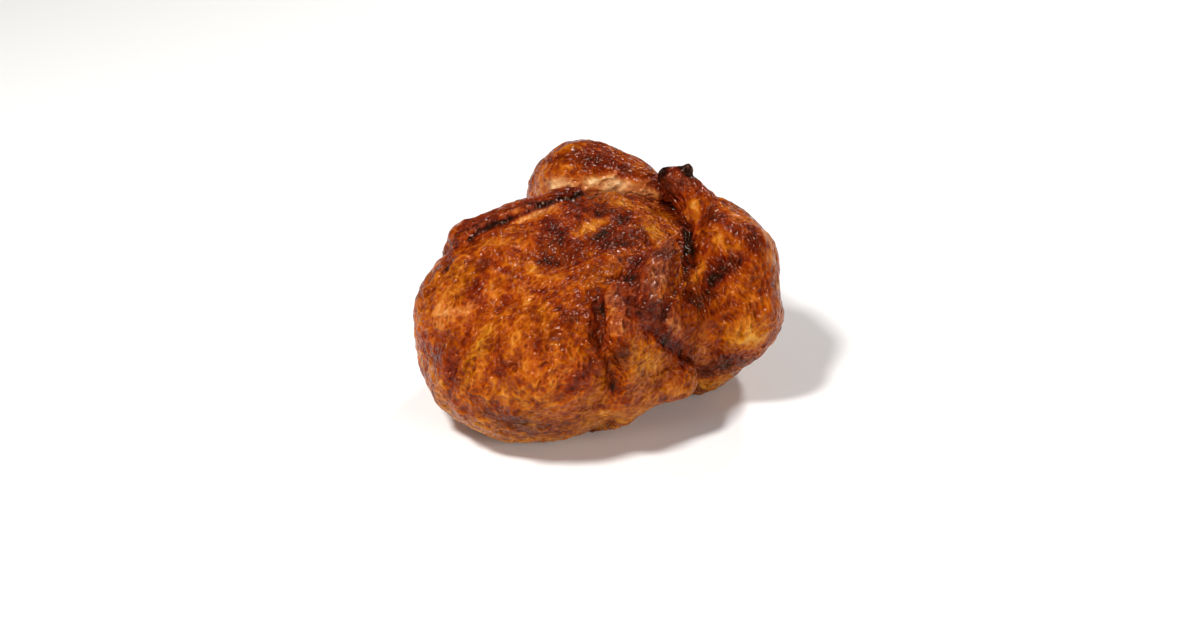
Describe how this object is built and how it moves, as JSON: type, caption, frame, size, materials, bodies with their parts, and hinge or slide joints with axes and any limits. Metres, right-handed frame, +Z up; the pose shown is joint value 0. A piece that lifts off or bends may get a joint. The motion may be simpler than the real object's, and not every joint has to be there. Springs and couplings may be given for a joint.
{
  "type": "roast chicken",
  "caption": "Whole roast chicken lying on its back, breast up, with folded wings along the breast and trussed legs whose ankles meet over the tail.",
  "frame": {"origin": "bottom centre of the bird's bounding box, on the surface it lies on", "axes": "+X from the neck end to the tail end, +Y to the bird's left side, +Z up, towards the breast"},
  "size_m": [0.2012, 0.165, 0.1036],
  "materials": {
    "roast_skin": "greasy browned skin, glossy in places, scorched dark on the highest folds"
  },
  "bodies": {
    "root": {"roast_chicken": "roast_skin"}
  },
  "joints": []
}
